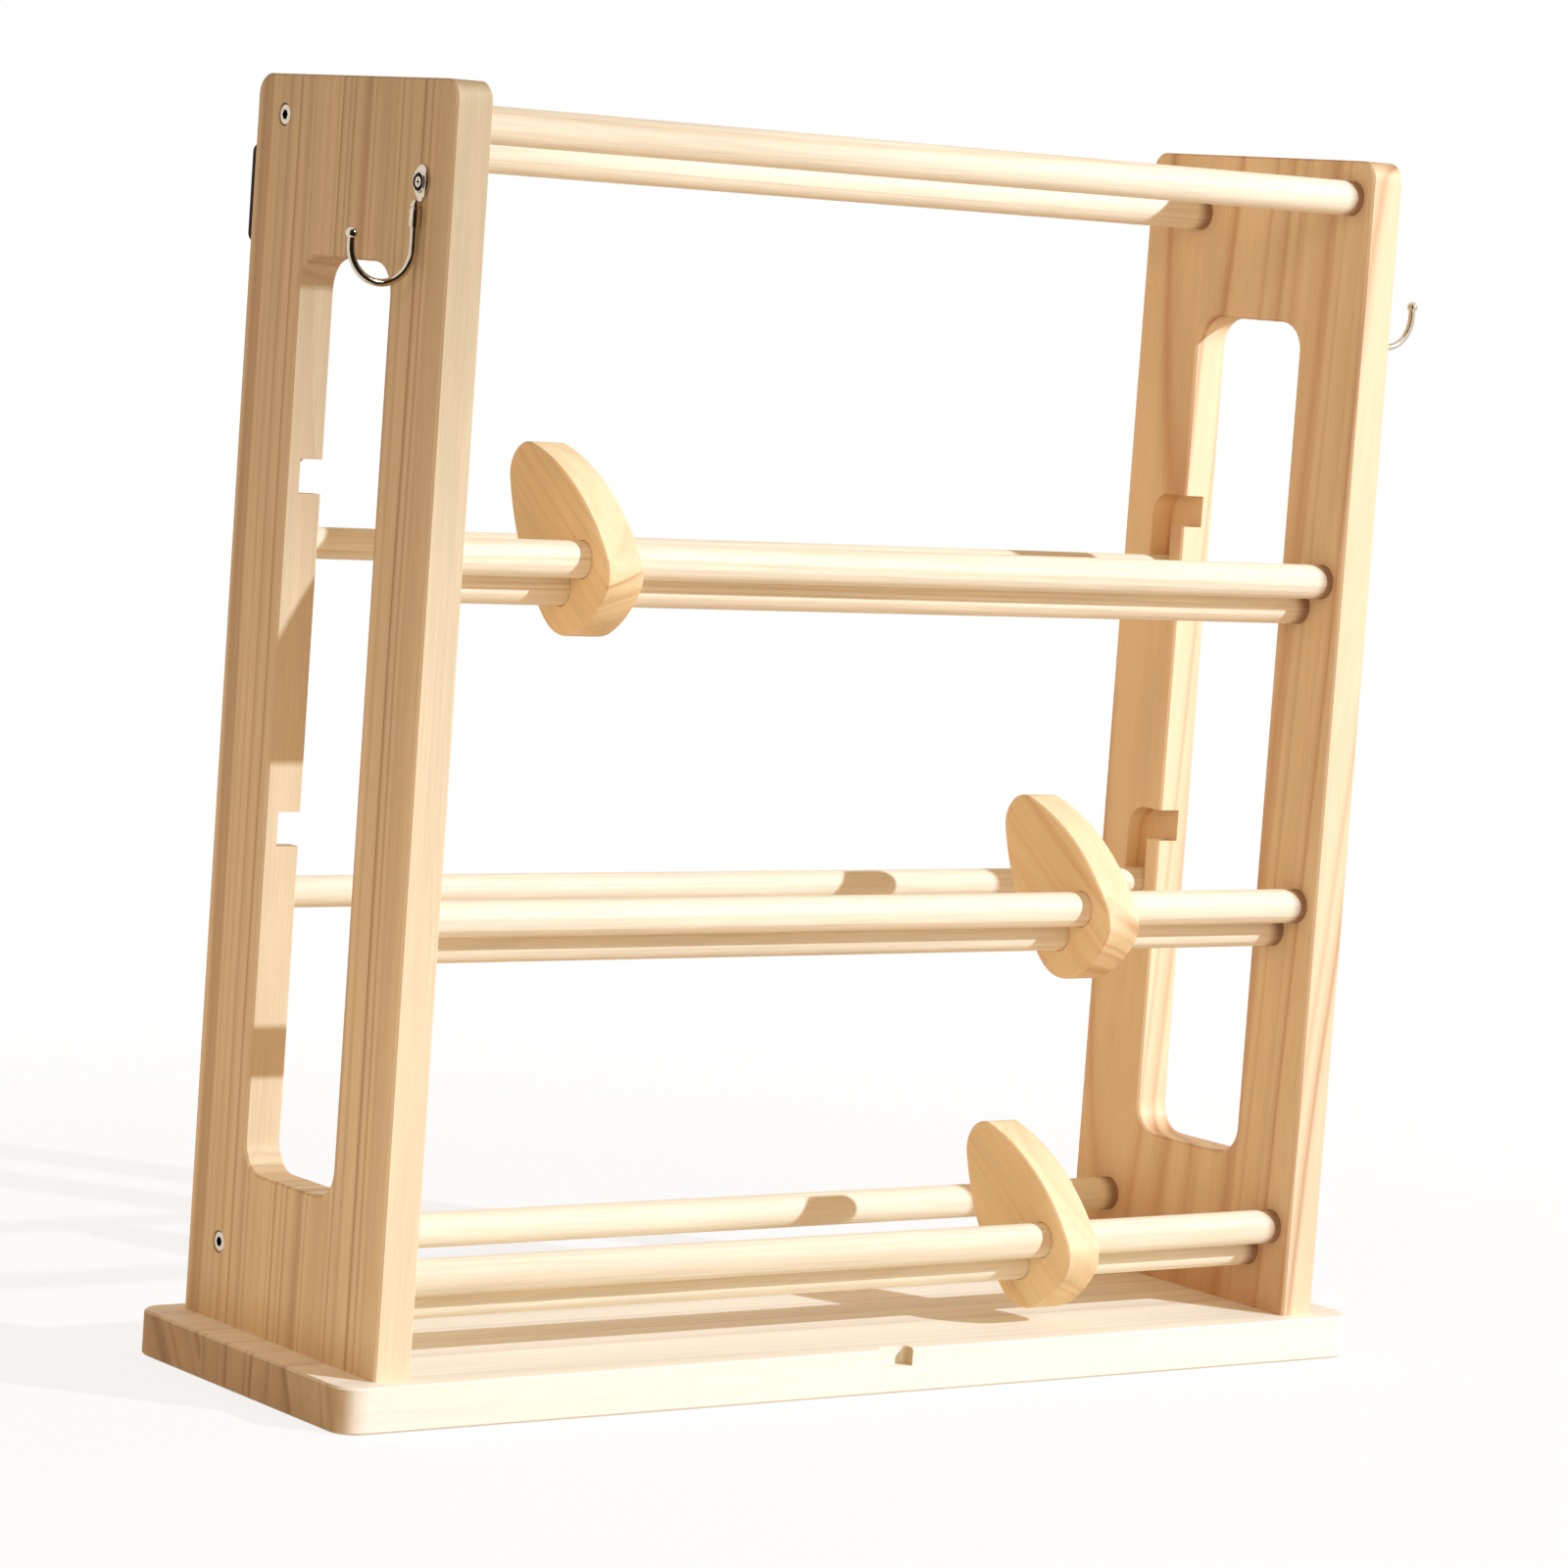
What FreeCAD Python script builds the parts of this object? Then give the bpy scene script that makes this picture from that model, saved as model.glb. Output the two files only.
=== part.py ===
"""Ribbon spool dispenser: a pine rack with four levels of dowels between two side panels.

Millimetres. X runs along the rods, Y from the front to the rear, Z up. The origin is the
middle of the base board's underside, so the rack stands on Z = 0.
"""
import FreeCAD, Part
import math
import os

V = FreeCAD.Vector
ALONG, BACK, UP = V(1, 0, 0), V(0, 1, 0), V(0, 0, 1)
SAME = 1e-3                  # two places nearer than this are one
OVERSHOOT = 1.0              # how far a cutter runs past the faces that it opens

# ------------------------------------------------------------------ boards
rack_width = 520.0           # over the outer faces of the two side panels
panel_thick = 18.0
panel_depth = 161.0
panel_height = 543.0         # above the base board
panel_corner = 9.0           # radius of the two top corners
stile_width = 43.4           # wood left in front of and behind the window
window_foot = 69.0           # wood left below the window
window_head = 77.0           # wood left above the window
window_corner = 14.0
base_thick = 20.0
base_end_lip = 20.0          # base board beyond each panel's outer face
base_edge_lip = 9.0          # base board beyond the panels' front and rear edges
base_corner = 12.0
board_ease = 1.0             # flat planed off the boards' edges

# ------------------------------------------------------------------ notch in the base's front edge
notch_width = 16.0
notch_depth = 6.5
notch_height = 8.0
notch_corner = 3.0
notch_offset = 8.6           # to the right of the middle

# ------------------------------------------------------------------ rods
rod_dia = 16.0
front_inset = 14.0           # front rods' axes, behind the panels' front edge
under_back = 15.0            # an under rod's axis, behind its front rod
under_drop = 13.0            # and below it
lower_rise = 40.5            # lower front rod's axis, above the base board
level_pitch = 153.0          # lower to middle, and middle to upper
top_drop = 17.5              # top front rod and tie rod, below the panels' top
top_rear_inset = 39.4        # top rear rod, ahead of the panels' rear edge
top_rear_drop = 28.0
tie_inset = 22.8             # top tie rod, ahead of the rear edge
lower_rear_inset = 26.0
lower_rear_rise = 34.5
rod_bore_depth = 12.0        # blind bores for the glued rods
tie_bore_depth = 8.0         # shallower where a screw comes through the panel
glue_gap = 0.05              # round a glued rod
bottom_gap = 0.3             # behind the end of a rod or a screw

# ------------------------------------------------------------------ spindles and their pockets
spindle_dia = 14.0
spindle_inset = 27.5         # axis ahead of the panels' rear edge
spindle_drop = 4.5           # axis below the level's front rod
spindle_side_gap = 0.5       # between the spindle and the slot's sides
spindle_rest_gap = 0.3       # under the spindle, where it lies in the slot
spindle_end_gap = 1.0        # between the spindle's end and the pocket's bottom
spindle_end_ease = 1.0
pocket_depth = 11.5
tongue_rise = 22.0           # top of the retaining tongue, above the spindle's axis
pocket_turn = 3.5            # radius of the cutter's path where the channel turns down

# ------------------------------------------------------------------ dividers
divider_thick = 18.0
divider_places = {"upper": 67.5, "middle": 354.0, "lower": 345.5}   # from the left panel
divider_ease = 0.7
slide_gap = 0.3              # round the rods that a divider slides on
nose = (-7.5, -5.5, 14.0)    # lobes: back, up (from the front rod's axis) and radius
belly = (11.0, -10.0, 23.5)
tip = (47.0, 33.5, 13.5)
nose_to_belly, belly_to_tip, tip_to_nose = 50.0, 115.0, 108.0       # radii of the long sides

# ------------------------------------------------------------------ wire hooks
hook_inset = 22.6            # hook's plane, behind the panels' front edge
hook_drop = 43.0             # eye's centre, below the panels' top
wire_dia = 3.3
wire_standoff = 2.7          # shank's axis, out from the panel
shank_length = 27.5          # from the eye's centre down to where the bend starts
bend_radius = 14.95          # of the wire's axis
tip_length = 4.7             # straight end up to the ball's centre
ball_dia = 5.0
eye_dia = 11.4
eye_thick = 2.4
dish_dia, dish_depth = 7.6, 1.6          # sunk into the eye round its screw
collar_dia = 4.8
collar_top, collar_foot = 10.5, 18.5     # below the eye's centre

# ------------------------------------------------------------------ furniture screws
furniture_head_dia, furniture_head = 9.5, 3.0
furniture_recess_dia, furniture_recess = 10.0, 3.4
furniture_dia = 5.0
furniture_length = 46.0      # below the head
furniture_socket = 4.0       # across the flats of the hexagon
furniture_socket_depth = 2.2
base_screw_inset = 50.0      # from the panels' front and rear edges
screw_gap = 0.1              # round a screw's shank

# ------------------------------------------------------------------ small screws, with a cross recess
hook_screw_head_dia, hook_screw_head = 4.4, 1.6
hook_screw_dia, hook_screw_length = 2.6, 14.0
hanger_screw_head_dia, hanger_screw_head = 6.4, 2.0
hanger_recess_dia, hanger_recess = 6.8, 2.2
hanger_screw_dia, hanger_screw_length = 3.0, 16.0
cross_reach = 0.3            # from the head's centre to an arm's end, as a share of the head
cross_width = 0.14           # of an arm, as a share of the head
cross_depth = 0.9

# ------------------------------------------------------------------ hanger on the left panel's rear edge
hanger_height, hanger_width = 43.0, 16.0
hanger_proud = 4.2
hanger_corner = 4.0
hanger_ease = 0.8
hanger_skin = 1.5            # metal left over the hollow behind the keyhole
hanger_top_drop = 30.0       # plate's top, below the panels' top
hanger_screw_inset = 6.0     # from the plate's ends
keyhole_dia = 8.0            # round end, that the wall screw's head goes in
keyhole_slot = 4.2           # narrow end, that its shank slides up
keyhole_rise = 9.0           # between the two ends' centres
keyhole_head_room = 0.8      # round the wall screw's head, behind the skin

# ------------------------------------------------------------------ places worked out
outer_x = rack_width / 2
inner_x = outer_x - panel_thick
panel_middle = outer_x - panel_thick / 2
front_y, rear_y = -panel_depth / 2, panel_depth / 2
deck_z = base_thick
top_z = deck_z + panel_height
rod_r, spindle_r, wire_r = rod_dia / 2, spindle_dia / 2, wire_dia / 2
slot_r = spindle_r + spindle_side_gap
slot_y = rear_y - spindle_inset
front_rod_y = front_y + front_inset
levels = {"upper": deck_z + lower_rise + 2 * level_pitch,
          "middle": deck_z + lower_rise + level_pitch,
          "lower": deck_z + lower_rise}
spindle_z = {level: levels[level] - spindle_drop for level in ("upper", "middle")}
glued_rods = {"top_front_rod": (front_rod_y, top_z - top_drop),
              "top_rear_rod": (rear_y - top_rear_inset, top_z - top_rear_drop)}
for level, height in levels.items():
    glued_rods[level + "_front_rod"] = (front_rod_y, height)
    glued_rods[level + "_under_rod"] = (front_rod_y + under_back, height - under_drop)
tied_rods = {"top_tie_rod": (rear_y - tie_inset, top_z - top_drop),
             "lower_rear_rod": (rear_y - lower_rear_inset, deck_z + lower_rear_rise)}
hook_y, hook_z = front_y + hook_inset, top_z - hook_drop
hanger_z = top_z - hanger_top_drop - hanger_height / 2
hanger_screw_reach = hanger_height / 2 - hanger_screw_inset
hanger_seat_y = rear_y + hanger_proud - hanger_recess


# ------------------------------------------------------------------ shared helpers
def rod_along_x(x0, x1, y, z, radius):
    return Part.makeCylinder(radius, x1 - x0, V(x0, y, z), ALONG)


def box(x0, x1, y0, y1, z0, z1):
    return Part.makeBox(x1 - x0, y1 - y0, z1 - z0, V(x0, y0, z0))


def face_of(edges):
    return Part.Face(Part.Wire(edges))


def mirrored(shape):
    """The right-hand twin of a left-hand piece."""
    return shape.mirror(V(0, 0, 0), ALONG)


def rounded_plate(x0, x1, y0, y1, z0, z1, radius, along, corners):
    """A box with the corners that the test picks rounded; their edges run along one axis."""
    plate = box(x0, x1, y0, y1, z0, z1)
    edges = [edge for edge in plate.Edges if is_straight(edge, along) and corners(edge.CenterOfMass)]
    return plate.makeFillet(radius, edges)


def is_straight(edge, along):
    if not isinstance(edge.Curve, Part.Line):
        return False
    return abs(edge.tangentAt(edge.FirstParameter).dot(along)) > 1 - SAME


def is_flat(low, high):
    """Whether an edge's box has no extent between these two of its sides."""
    return high - low < SAME


def eased(shape, flat, picked):
    """The shape with a flat at 45 degrees on each edge that the test picks."""
    return shape.makeChamfer(flat, [edge for edge in shape.Edges if picked(edge)])


# ------------------------------------------------------------------ screws
class Screw:
    """A kind of screw. It is drawn along +X, with the underside of its head at the origin."""

    def __init__(self, head_dia, head, shank_dia, length, drive, recess_dia=0.0, recess=0.0):
        self.head_dia, self.head = head_dia, head
        self.shank_dia, self.length = shank_dia, length
        self.drive = drive
        self.recess_dia, self.recess = recess_dia, recess

    def solid(self):
        head = rod_along_x(-self.head, 0, 0, 0, self.head_dia / 2)
        shank = rod_along_x(0, self.length, 0, 0, self.shank_dia / 2)
        drive = self.drive.copy()
        drive.translate(V(-self.head, 0, 0))
        return head.fuse(shank).cut(drive)

    def hole(self):
        """What the screw needs cut away: its shank's bore and the recess for its head."""
        bore = rod_along_x(0, self.length + bottom_gap, 0, 0, self.shank_dia / 2 + screw_gap)
        if self.recess == 0:
            return bore
        return bore.fuse(rod_along_x(-self.recess, 0, 0, 0, self.recess_dia / 2))


def hexagon_socket(across, depth):
    corner = across / math.sqrt(3)
    points = [V(0, corner * math.cos(math.radians(60 * i)), corner * math.sin(math.radians(60 * i)))
              for i in range(7)]
    return Part.Face(Part.makePolygon(points)).extrude(V(depth, 0, 0))


def cross_recess(head_dia):
    reach, arm = cross_reach * head_dia, cross_width * head_dia / 2
    return box(0, cross_depth, -reach, reach, -arm, arm).fuse(
        box(0, cross_depth, -arm, arm, -reach, reach))


furniture_screw = Screw(furniture_head_dia, furniture_head, furniture_dia, furniture_length,
                        hexagon_socket(furniture_socket, furniture_socket_depth),
                        furniture_recess_dia, furniture_recess)
hook_screw = Screw(hook_screw_head_dia, hook_screw_head, hook_screw_dia, hook_screw_length,
                   cross_recess(hook_screw_head_dia))
hanger_screw = Screw(hanger_screw_head_dia, hanger_screw_head, hanger_screw_dia, hanger_screw_length,
                     cross_recess(hanger_screw_head_dia), hanger_recess_dia, hanger_recess)

# the left side's screws: their kind, the way they point, and the seats of their heads
screw_groups = {
    "tie_screws": (furniture_screw, ALONG,
                   [V(-outer_x + furniture_recess, y, z) for y, z in tied_rods.values()]),
    "base_screws": (furniture_screw, UP,
                    [V(-panel_middle, front_y + base_screw_inset, furniture_recess),
                     V(-panel_middle, rear_y - base_screw_inset, furniture_recess)]),
    "hook_screw": (hook_screw, ALONG, [V(-outer_x - eye_thick + dish_depth, hook_y, hook_z)]),
    "hanger_screws": (hanger_screw, -BACK,
                      [V(-panel_middle, hanger_seat_y, hanger_z - hanger_screw_reach),
                       V(-panel_middle, hanger_seat_y, hanger_z + hanger_screw_reach)]),
}
paired_groups = ("tie_screws", "base_screws", "hook_screw")      # the right side has these too


def placed(shape, seat, heading):
    """The shape turned from +X to its heading and moved to its seat."""
    shape = shape.copy()
    shape.Placement = FreeCAD.Placement(seat, FreeCAD.Rotation(ALONG, heading))
    return shape


def left_screws(group):
    kind, heading, seats = screw_groups[group]
    solids = [placed(kind.solid(), seat, heading) for seat in seats]
    return Part.makeCompound(solids) if len(solids) > 1 else solids[0]


def left_holes(group):
    kind, heading, seats = screw_groups[group]
    return [placed(kind.hole(), seat, heading) for seat in seats]


# ------------------------------------------------------------------ side panels
def pocket_outline(x, axis_z):
    """The hook-shaped channel: in from the window, then down to the spindle's rest."""
    mouth_y = rear_y - stile_width - slot_r
    near_y, far_y = slot_y - slot_r, slot_y + slot_r
    arc_z = axis_z - spindle_r - spindle_rest_gap + slot_r
    shelf_z = axis_z + tongue_rise
    ceiling_z = shelf_z + 2 * slot_r
    turn_r = slot_r + pocket_turn
    turn_y, turn_z = far_y - turn_r, ceiling_z - turn_r
    half = math.sqrt(0.5)

    def at(y, z):
        return V(x, y, z)

    rest = Part.Arc(at(near_y, arc_z), at(slot_y, arc_z - slot_r), at(far_y, arc_z))
    turn = Part.Arc(at(far_y, turn_z), at(turn_y + turn_r * half, turn_z + turn_r * half),
                    at(turn_y, ceiling_z))
    return face_of([Part.makeLine(at(mouth_y, shelf_z), at(near_y, shelf_z)),
                    Part.makeLine(at(near_y, shelf_z), at(near_y, arc_z)),
                    rest.toShape(),
                    Part.makeLine(at(far_y, arc_z), at(far_y, turn_z)),
                    turn.toShape(),
                    Part.makeLine(at(turn_y, ceiling_z), at(mouth_y, ceiling_z)),
                    Part.makeLine(at(mouth_y, ceiling_z), at(mouth_y, shelf_z))])


def side_panel():
    """The left side panel without the hanger's holes; the right one is its mirror."""
    board = rounded_plate(-outer_x, -inner_x, front_y, rear_y, deck_z, top_z, panel_corner, ALONG,
                          lambda c: c.z > deck_z + panel_height / 2)
    window = rounded_plate(-outer_x - OVERSHOOT, -inner_x + OVERSHOOT,
                           front_y + stile_width, rear_y - stile_width,
                           deck_z + window_foot, top_z - window_head, window_corner, ALONG,
                           lambda c: True)
    panel = board.cut(window)

    def on_a_face(edge):
        around = edge.BoundBox
        return is_flat(around.XMin, around.XMax) and around.ZMax > deck_z + SAME
    panel = eased(panel, board_ease, on_a_face)

    cuts = [pocket_outline(-inner_x, axis_z).extrude(V(-pocket_depth, 0, 0))
            for axis_z in spindle_z.values()]
    cuts += [rod_along_x(-inner_x - rod_bore_depth, -inner_x, y, z, rod_r + glue_gap)
             for y, z in glued_rods.values()]
    cuts += [rod_along_x(-inner_x - tie_bore_depth, -inner_x, y, z, rod_r + glue_gap)
             for y, z in tied_rods.values()]
    for group in paired_groups:
        cuts += left_holes(group)
    return panel.cut(cuts)


# ------------------------------------------------------------------ base board
def base_board():
    half_x = outer_x + base_end_lip
    board = rounded_plate(-half_x, half_x, front_y - base_edge_lip, rear_y + base_edge_lip,
                          0, base_thick, base_corner, UP, lambda c: True)
    board = eased(board, board_ease, lambda e: is_flat(e.BoundBox.ZMin, e.BoundBox.ZMax))
    holes = left_holes("base_screws")
    return board.cut([notch()] + holes + [mirrored(hole) for hole in holes])


def notch():
    """The small cut in the front top edge, with rounded inner corners."""
    lip_y = front_y - base_edge_lip
    cutter = box(notch_offset - notch_width / 2, notch_offset + notch_width / 2,
                 lip_y - notch_depth, lip_y + notch_depth,
                 base_thick - notch_height, base_thick + notch_height)
    inner = [edge for edge in cutter.Edges if is_straight(edge, UP) and edge.CenterOfMass.y > lip_y]
    return cutter.makeFillet(notch_corner, inner)


# ------------------------------------------------------------------ rods, spindles, dividers
def glued_rod(place):
    reach = inner_x + rod_bore_depth - bottom_gap
    return rod_along_x(-reach, reach, place[0], place[1], rod_r)


def tied_rod(place):
    """A rod whose ends butt against the bottoms of their bores and take a screw each."""
    reach = inner_x + tie_bore_depth
    pilots = left_holes("tie_screws")
    rod = rod_along_x(-reach, reach, place[0], place[1], rod_r)
    return rod.cut(pilots + [mirrored(pilot) for pilot in pilots])


def spindle(axis_z):
    reach = inner_x + pocket_depth - spindle_end_gap
    dowel = rod_along_x(-reach, reach, slot_y, axis_z, spindle_r)
    return eased(dowel, spindle_end_ease, lambda e: e.Closed)


def lobe_join(first, second, radius):
    """Centre of the arc that runs round both lobes and touches each from outside."""
    r1, r2 = radius - first[2], radius - second[2]
    dy, dz = second[0] - first[0], second[1] - first[1]
    apart = math.hypot(dy, dz)
    along = (r1 * r1 - r2 * r2 + apart * apart) / (2 * apart)
    aside = math.sqrt(r1 * r1 - along * along)
    return (first[0] + (along * dy - aside * dz) / apart,
            first[1] + (along * dz + aside * dy) / apart)


def away(centre, point, radius):
    """The point at a radius from a centre, in the direction of another point."""
    dy, dz = point[0] - centre[0], point[1] - centre[1]
    apart = math.hypot(dy, dz)
    return (centre[0] + dy * radius / apart, centre[1] + dz * radius / apart)


def divider_outline(x, axis_z):
    """Teardrop of three lobes joined by three long arcs, all tangent."""
    lobes = (nose, belly, tip)
    radii = (nose_to_belly, belly_to_tip, tip_to_nose)
    joins = [lobe_join(lobes[i], lobes[(i + 1) % 3], radii[i]) for i in range(3)]

    def at(point):
        return V(x, front_rod_y + point[0], axis_z + point[1])

    edges = []
    for i, lobe in enumerate(lobes):
        before, after = joins[i - 1], joins[i]
        start = away(before, lobe, radii[i - 1])
        end = away(after, lobe, radii[i])
        middle_y, middle_z = (before[0] + after[0]) / 2, (before[1] + after[1]) / 2
        crown = away(lobe, (2 * lobe[0] - middle_y, 2 * lobe[1] - middle_z), lobe[2])
        edges.append(Part.Arc(at(start), at(crown), at(end)).toShape())
        following = lobes[(i + 1) % 3]
        far = away(after, following, radii[i])
        halfway = away(after, ((end[0] + far[0]) / 2, (end[1] + far[1]) / 2), radii[i])
        edges.append(Part.Arc(at(end), at(halfway), at(far)).toShape())
    return face_of(edges)


def divider(level):
    x0 = -inner_x + divider_places[level]
    board = divider_outline(x0, levels[level]).extrude(V(divider_thick, 0, 0))
    board = eased(board, divider_ease, lambda e: is_flat(e.BoundBox.XMin, e.BoundBox.XMax))
    holes = [rod_along_x(x0, x0 + divider_thick, *glued_rods[level + name], rod_r + slide_gap)
             for name in ("_front_rod", "_under_rod")]
    return board.cut(holes)


# ------------------------------------------------------------------ wire hooks
def left_hook():
    """Dished eye, collar, shank, half-round bend and ball tip, standing out to the left."""
    shank_x = -outer_x - wire_standoff
    far_x = shank_x - 2 * bend_radius
    bend_z = hook_z - shank_length
    section = Part.Face(Part.Wire(Part.makeCircle(wire_r, V(shank_x, hook_y, bend_z), UP)))
    bend = section.revolve(V(shank_x - bend_radius, hook_y, bend_z), BACK, 180)
    shank = Part.makeCylinder(wire_r, shank_length - collar_top, V(shank_x, hook_y, bend_z), UP)
    end = Part.makeCylinder(wire_r, tip_length, V(far_x, hook_y, bend_z), UP)
    ball = Part.makeSphere(ball_dia / 2, V(far_x, hook_y, bend_z + tip_length))
    collar = Part.makeCylinder(collar_dia / 2, collar_foot - collar_top,
                               V(shank_x, hook_y, hook_z - collar_foot), UP)
    dish = Part.makeCone(dish_dia / 2, hook_screw_head_dia / 2 + screw_gap, dish_depth,
                         V(-outer_x - eye_thick, hook_y, hook_z), ALONG)
    hook = hook_eye().fuse([collar, shank, bend, end, ball]).removeSplitter()
    return hook.cut([dish] + left_holes("hook_screw"))


def hook_eye():
    """Forged teardrop plate: the round eye runs down into the collar."""
    eye_r, neck_r = eye_dia / 2, collar_dia / 2
    neck_z = hook_z - collar_top - neck_r
    lean = math.asin((eye_r - neck_r) / (hook_z - neck_z))
    side, drop = math.cos(lean), math.sin(lean)

    def at(y, z):
        return V(-outer_x, hook_y + y, z)

    eye_left, eye_right = at(-eye_r * side, hook_z - eye_r * drop), at(eye_r * side, hook_z - eye_r * drop)
    neck_left = at(-neck_r * side, neck_z - neck_r * drop)
    neck_right = at(neck_r * side, neck_z - neck_r * drop)
    outline = face_of([Part.Arc(eye_right, at(0, hook_z + eye_r), eye_left).toShape(),
                       Part.makeLine(eye_left, neck_left),
                       Part.Arc(neck_left, at(0, neck_z - neck_r), neck_right).toShape(),
                       Part.makeLine(neck_right, eye_right)])
    return outline.extrude(V(-eye_thick, 0, 0))


# ------------------------------------------------------------------ hanger
def upright_slot(x, z0, z1, radius, y0, y1):
    """A round-ended upright slot, cut from front to rear."""
    ends = [Part.makeCylinder(radius, y1 - y0, V(x, y0, z), BACK) for z in (z0, z1)]
    return box(x - radius, x + radius, y0, y1, z0, z1).fuse(ends)


def hanger():
    """Cast plate with a keyhole and a hollow behind it for the wall screw's head."""
    x, back_y = -panel_middle, rear_y + hanger_proud
    plate = rounded_plate(x - hanger_width / 2, x + hanger_width / 2, rear_y, back_y,
                          hanger_z - hanger_height / 2, hanger_z + hanger_height / 2,
                          hanger_corner, BACK, lambda c: True)
    plate = eased(plate, hanger_ease, lambda e: e.BoundBox.YMin > back_y - SAME)
    low, high = hanger_z - keyhole_rise / 2, hanger_z + keyhole_rise / 2
    entry_r, slot_half = keyhole_dia / 2, keyhole_slot / 2
    cuts = [upright_slot(x, low, high, entry_r + keyhole_head_room, rear_y, back_y - hanger_skin),
            upright_slot(x, low, high, slot_half, rear_y, back_y),
            Part.makeCylinder(entry_r, hanger_proud, V(x, rear_y, low), BACK)]
    return plate.cut(cuts + left_holes("hanger_screws"))


# ------------------------------------------------------------------ the whole rack
def build():
    """Every piece by name; a name with several solids is a group of like screws."""
    panel = side_panel()
    pieces = {"base_board": base_board(),
              "left_side_panel": panel.cut(left_holes("hanger_screws")),
              "right_side_panel": mirrored(panel),
              "hanger": hanger(),
              "hanger_screws": left_screws("hanger_screws")}
    lefts = {"hook": left_hook()}
    for group in paired_groups:
        lefts[group] = left_screws(group)
    for name, shape in lefts.items():
        pieces["left_" + name] = shape
        pieces["right_" + name] = mirrored(shape)
    for name, place in glued_rods.items():
        pieces[name] = glued_rod(place)
    for name, place in tied_rods.items():
        pieces[name] = tied_rod(place)
    for level, axis_z in spindle_z.items():
        pieces[level + "_spindle"] = spindle(axis_z)
    for level in levels:
        pieces[level + "_divider"] = divider(level)
    return pieces


def main():
    os.makedirs("parts", exist_ok=True)
    for name, shape in build().items():
        shape.exportStep("parts/" + name + ".step")
        print(name, "solids", len(shape.Solids), "valid", shape.isValid(), "mm3", round(shape.Volume))


main()
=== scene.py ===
# %% [markdown]
# # A pine ribbon rack, dressed around its CAD frame
# The rack is carpentry: two side panels with long windows, a base board, dowels that span between
# the panels, three teardrop dividers that slide on the dowels, and a little hardware. Every wooden
# piece already has its true shape in the frame that is loaded here, so this lesson is mostly about
# wood: how to give solid pine its grain, one board at a time. The bright hardware is remade as fine
# meshes, because a mirror finish shows every facet.

import math

import bmesh
import bpy
from mathutils import Matrix, Vector


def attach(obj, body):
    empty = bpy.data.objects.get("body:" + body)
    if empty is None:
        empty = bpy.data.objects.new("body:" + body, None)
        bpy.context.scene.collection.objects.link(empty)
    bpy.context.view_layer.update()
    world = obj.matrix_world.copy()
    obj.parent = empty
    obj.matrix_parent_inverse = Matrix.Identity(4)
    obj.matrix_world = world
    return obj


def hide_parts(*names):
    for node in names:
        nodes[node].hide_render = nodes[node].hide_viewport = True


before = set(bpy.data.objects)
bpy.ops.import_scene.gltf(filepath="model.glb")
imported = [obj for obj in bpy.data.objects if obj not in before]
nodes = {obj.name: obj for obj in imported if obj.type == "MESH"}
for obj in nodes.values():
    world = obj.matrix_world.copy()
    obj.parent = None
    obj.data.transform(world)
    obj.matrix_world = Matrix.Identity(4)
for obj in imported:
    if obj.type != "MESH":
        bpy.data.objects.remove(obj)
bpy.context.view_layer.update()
MM = 0.001

# %% [markdown]
# ## The camera
# A long lens from the left front and a little above. The camera stands 2.5 m away and leans by four
# degrees, so the rack seems to tip back to the right. The place and the three angles say everything:
# the matrix's columns are the camera's right, up and back.

# %% Camera
camera_place = Vector((-1.4655, -1.9950, 0.5010))
camera_azimuth, camera_elevation, camera_roll = (math.radians(a) for a in (-36.08, 5.507, 4.086))
back = Vector((math.sin(camera_azimuth) * math.cos(camera_elevation),
               -math.cos(camera_azimuth) * math.cos(camera_elevation),
               math.sin(camera_elevation)))
level_right = Vector((math.cos(camera_azimuth), math.sin(camera_azimuth), 0))
level_up = back.cross(level_right)
right = math.cos(camera_roll) * level_right + math.sin(camera_roll) * level_up
up = back.cross(right)

lens = bpy.data.cameras.new("camera")
lens.sensor_width = 36
lens.lens = 125.82
camera = bpy.data.objects.new("camera", lens)
turn = Matrix((right, up, back)).transposed()
camera.matrix_world = Matrix.Translation(camera_place) @ turn.to_4x4()
bpy.context.scene.collection.objects.link(camera)
bpy.context.scene.camera = camera
bpy.context.scene.view_settings.view_transform = "Standard"
print("camera", round(camera_place.length, 3), "m from the origin")

# %% [markdown]
# ## Colours and nodes
# Two small tools serve every material. One turns a colour as it is written, in sRGB, to the linear
# light that Blender reckons in. The other adds a node: its settings are attributes, and each of its
# inputs is either a plain value or another node's output. A colour ramp's stops come as a list: its
# two ends first, because every ramp is born with them, and then the stops between.

# %% Colour and node helpers
def linear(hex_colour):
    channels = [int(hex_colour[i:i + 2], 16) / 255 for i in (1, 3, 5)]
    light = [c / 12.92 if c <= 0.04045 else ((c + 0.055) / 1.055) ** 2.4 for c in channels]
    return (*light, 1.0)


def add(tree, kind, inputs=None, stops=None, **settings):
    made = tree.nodes.new("ShaderNode" + kind)
    for name, value in settings.items():
        setattr(made, name, value)
    for key, value in (inputs or {}).items():
        if isinstance(value, bpy.types.NodeSocket):
            tree.links.new(value, made.inputs[key])
        else:
            made.inputs[key].default_value = value
    for i, (place, shade) in enumerate(stops or ()):
        ramp = made.color_ramp.elements
        stop = ramp[i] if i < 2 else ramp.new(place)
        stop.position, stop.color = place, shade
    return made


def new_material(name):
    material = bpy.data.materials.new(name)
    material.use_nodes = True
    material.node_tree.nodes.clear()
    return material, material.node_tree


def dress(material, *names):
    for name in names:
        mesh = nodes[name].data
        mesh.materials.clear()
        mesh.materials.append(material)


def grey(value):
    return (value, value, value, 1.0)


print("pale pine is", [round(c, 3) for c in linear("#F0D8B6")[:3]])

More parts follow.
